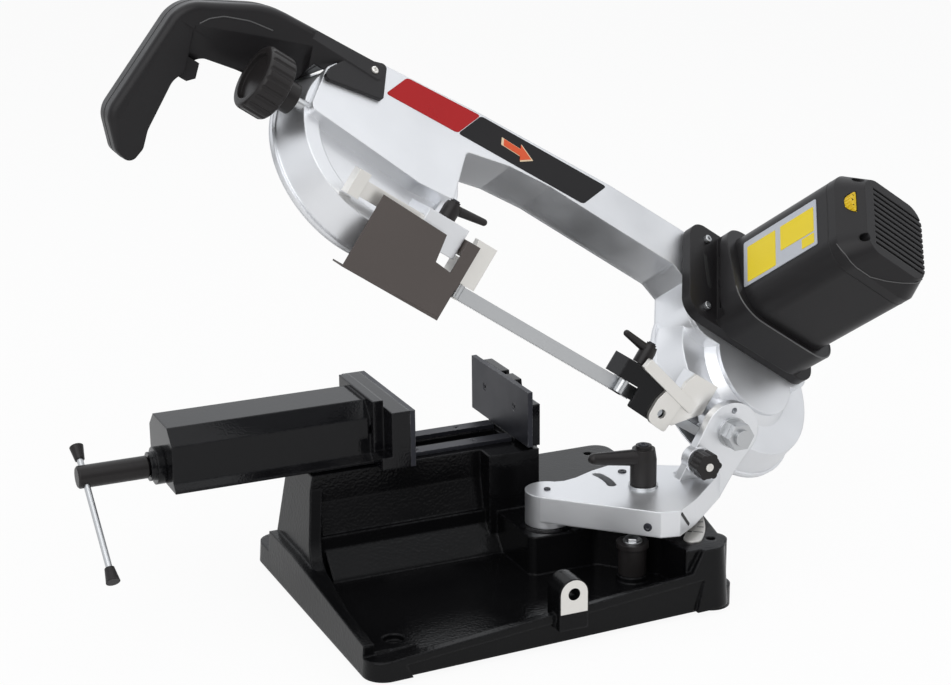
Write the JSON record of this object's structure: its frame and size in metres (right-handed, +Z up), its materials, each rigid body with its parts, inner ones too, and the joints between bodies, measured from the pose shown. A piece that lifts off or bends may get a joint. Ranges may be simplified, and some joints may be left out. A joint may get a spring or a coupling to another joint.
{
  "type": "metal cutting band saw",
  "caption": "Bench band saw for metal: a tilting bow with motor and handle hinged on a swivel bracket, over a tray base with a screw vise.",
  "frame": {"origin": "centre of the four bench holes, on the plane that the feet stand on", "axes": "+X to the right along the vise screw, +Y to the back, +Z up"},
  "size_m": [0.8073, 0.3152, 0.5617],
  "materials": {
    "base_paint": "semi-gloss black powder coat on cast iron",
    "vise_paint": "textured black powder coat",
    "jaw_steel": "blackened hardened steel",
    "bright_steel": "bright zinc plated steel",
    "blade_steel": "bi-metal blade",
    "cast_aluminium": "satin cast aluminium",
    "black_plastic": "fine textured black moulding",
    "wheel_iron": "machined light alloy",
    "gear_steel": "hardened gear steel",
    "winding": "laminated core with windings",
    "guard_paint": "dark paint on sheet steel",
    "dial_yellow": "yellow moulding",
    "scale_plate": "plain scale plate"
  },
  "bodies": {
    "base": {"base_casting": "base_paint", "bed_rails": "jaw_steel", "base_screws": "jaw_steel", "fixed_jaw": "base_paint", "fixed_jaw_plate": "jaw_steel", "vise_nut": "gear_steel", "mitre_stop_post": "vise_paint", "mitre_scale": "scale_plate", "swivel_pin": "bright_steel"},
    "vise_slide": {"vise_slide": "vise_paint", "moving_jaw_plate": "jaw_steel", "moving_jaw_screws": "jaw_steel", "vise_bush": "vise_paint"},
    "vise_screw": {"vise_screw": "jaw_steel"},
    "vise_tbar": {"vise_tbar": "bright_steel", "vise_tbar_knobs": "black_plastic"},
    "swivel": {"swivel_bracket": "cast_aluminium", "hinge_pin": "bright_steel", "hinge_nut": "bright_steel", "lock_stud": "bright_steel"},
    "swivel_lever": {"swivel_lever": "black_plastic"},
    "plunger": {"plunger_pin": "bright_steel", "plunger_knob": "black_plastic"},
    "saw_head": {"bow_casting": "cast_aluminium", "rear_cover": "guard_paint", "cover_screws": "bright_steel", "blade": "blade_steel", "motor_stator": "winding", "head_bearings": "bright_steel", "gear_cover": "cast_aluminium", "gearbox_housing": "black_plastic", "motor_housing": "black_plastic", "motor_end_cap": "black_plastic", "casing_screws": "bright_steel", "right_guide_bracket": "jaw_steel", "right_guide_bar": "bright_steel", "handle_front_half": "black_plastic", "handle_back_half": "black_plastic"},
    "drive_wheel": {"drive_wheel": "wheel_iron", "drive_shaft": "bright_steel", "drive_gear": "gear_steel"},
    "second_gear": {"second_gear_shaft": "gear_steel"},
    "first_gear": {"first_gear_shaft": "gear_steel"},
    "rotor": {"motor_rotor": "winding"},
    "idler_carriage": {"tension_slide": "gear_steel", "idler_axle": "bright_steel"},
    "idler_wheel": {"idler_wheel": "wheel_iron"},
    "tension_knob": {"tension_knob": "black_plastic", "tension_screw": "bright_steel"},
    "guide_arm": {"guide_bar": "bright_steel", "guide_block": "bright_steel", "blade_guard": "guard_paint"},
    "left_roller_front": {"left_roller_front": "gear_steel"},
    "left_roller_back": {"left_roller_back": "gear_steel"},
    "right_roller_front": {"right_roller_front": "gear_steel"},
    "right_roller_back": {"right_roller_back": "gear_steel"},
    "left_guide_lever": {"left_guide_lever": "black_plastic"},
    "right_guide_lever": {"right_guide_lever": "black_plastic"},
    "trigger": {"trigger": "black_plastic"},
    "speed_dial": {"speed_dial": "dial_yellow"}
  },
  "joints": [
    {"name": "vise_travel", "type": "slide", "parent": "base", "child": "vise_slide", "axis": [1, 0, 0], "range_m": [0, 0.114]},
    {"name": "vise_screw_turn", "type": "hinge", "parent": "vise_slide", "child": "vise_screw", "pos_m": [-0.34, 0.0824, 0.14], "axis": [1, 0, 0], "range_deg": [0, 8210]},
    {"name": "vise_tbar_slide", "type": "slide", "parent": "vise_screw", "child": "vise_tbar", "axis": [0, -0.7771, -0.6293], "range_m": [-0.085, 0.007]},
    {"name": "swivel_turn", "type": "hinge", "parent": "base", "child": "swivel", "pos_m": [0.038, -0.027, 0.066], "axis": [0, 0, 1], "range_deg": [0, 45]},
    {"name": "swivel_lever_turn", "type": "hinge", "parent": "swivel", "child": "swivel_lever", "pos_m": [0.123, -0.058, 0.11], "axis": [0, 0, 1], "range_deg": [0, 60]},
    {"name": "plunger_pull", "type": "slide", "parent": "swivel", "child": "plunger", "axis": [0, -1, 0], "range_m": [0, 0.008], "stiffness_N_per_m": 400, "springref_m": -0.006},
    {"name": "head_tilt", "type": "hinge", "parent": "swivel", "child": "saw_head", "pos_m": [0.217, -0.045, 0.138], "axis": [0, 1, 0], "range_deg": [-34.3, 0], "stiffness_Nm_per_rad": 20, "springref_deg": 57.3},
    {"name": "drive_turn", "type": "hinge", "parent": "saw_head", "child": "drive_wheel", "pos_m": [0.26842, 0.03098, 0.15375], "axis": [0.3985, -0.7071, 0.5841], "continuous": true},
    {"name": "second_gear_turn", "type": "hinge", "parent": "saw_head", "child": "second_gear", "pos_m": [0.28595, 0.0426, 0.20721], "axis": [0.3985, -0.7071, 0.5841], "continuous": true},
    {"name": "first_gear_turn", "type": "hinge", "parent": "saw_head", "child": "first_gear", "pos_m": [0.3256, 0.03843, 0.20079], "axis": [0.3985, -0.7071, 0.5841], "continuous": true},
    {"name": "rotor_turn", "type": "hinge", "parent": "saw_head", "child": "rotor", "pos_m": [0.33837, -0.00579, 0.26695], "axis": [0.3985, -0.7071, 0.5841], "continuous": true},
    {"name": "tension_travel", "type": "slide", "parent": "saw_head", "child": "idler_carriage", "axis": [0.8261, 0, -0.5635], "range_m": [0, 0.005]},
    {"name": "tension_knob_turn", "type": "hinge", "parent": "saw_head", "child": "tension_knob", "pos_m": [-0.20817, 0.01826, 0.49426], "axis": [0.8261, 0, -0.5635], "range_deg": [0, 1205]},
    {"name": "idler_turn", "type": "hinge", "parent": "idler_carriage", "child": "idler_wheel", "pos_m": [-0.11356, 0.03098, 0.41432], "axis": [0.3985, -0.7071, 0.5841], "continuous": true},
    {"name": "guide_travel", "type": "slide", "parent": "saw_head", "child": "guide_arm", "axis": [0.8261, 0, -0.5635], "range_m": [0, 0.06]},
    {"name": "left_roller_front_turn", "type": "hinge", "parent": "guide_arm", "child": "left_roller_front", "pos_m": [-0.05455, -0.03286, 0.30387], "axis": [0.5635, 0, 0.8261], "continuous": true},
    {"name": "left_roller_back_turn", "type": "hinge", "parent": "guide_arm", "child": "left_roller_back", "pos_m": [-0.05455, -0.0216, 0.30387], "axis": [0.5635, 0, 0.8261], "continuous": true},
    {"name": "right_roller_front_turn", "type": "hinge", "parent": "saw_head", "child": "right_roller_front", "pos_m": [0.11133, -0.03286, 0.19071], "axis": [0.5635, 0, 0.8261], "continuous": true},
    {"name": "right_roller_back_turn", "type": "hinge", "parent": "saw_head", "child": "right_roller_back", "pos_m": [0.11133, -0.0216, 0.19071], "axis": [0.5635, 0, 0.8261], "continuous": true},
    {"name": "left_guide_lever_turn", "type": "hinge", "parent": "saw_head", "child": "left_guide_lever", "pos_m": [-0.06516, -0.04, 0.37527], "axis": [0.5635, 0, 0.8261], "range_deg": [0, 70]},
    {"name": "right_guide_lever_turn", "type": "hinge", "parent": "saw_head", "child": "right_guide_lever", "pos_m": [0.13736, -0.028, 0.2129], "axis": [0.5635, 0, 0.8261], "range_deg": [0, 70]},
    {"name": "trigger_pull", "type": "slide", "parent": "saw_head", "child": "trigger", "axis": [-0.8261, 0, 0.5635], "range_m": [0, 0.005], "stiffness_N_per_m": 600, "springref_m": -0.004},
    {"name": "speed_dial_turn", "type": "hinge", "parent": "saw_head", "child": "speed_dial", "pos_m": [0.34728, -0.06023, 0.3439], "axis": [0.3985, -0.7071, 0.5841], "range_deg": [0, 270]}
  ],
  "couplings": [
    {"joint": "vise_screw_turn", "follows": "vise_travel", "rad_per_m": 1256.6},
    {"joint": "second_gear_turn", "follows": "drive_turn", "ratio": -3.6667},
    {"joint": "first_gear_turn", "follows": "drive_turn", "ratio": 14.667},
    {"joint": "rotor_turn", "follows": "drive_turn", "ratio": -81.481},
    {"joint": "idler_turn", "follows": "drive_turn", "ratio": 1},
    {"joint": "tension_knob_turn", "follows": "tension_travel", "rad_per_m": 4188.8},
    {"joint": "left_roller_front_turn", "follows": "drive_turn", "ratio": -16.4},
    {"joint": "left_roller_back_turn", "follows": "drive_turn", "ratio": 16.4},
    {"joint": "right_roller_front_turn", "follows": "drive_turn", "ratio": -16.4},
    {"joint": "right_roller_back_turn", "follows": "drive_turn", "ratio": 16.4}
  ]
}
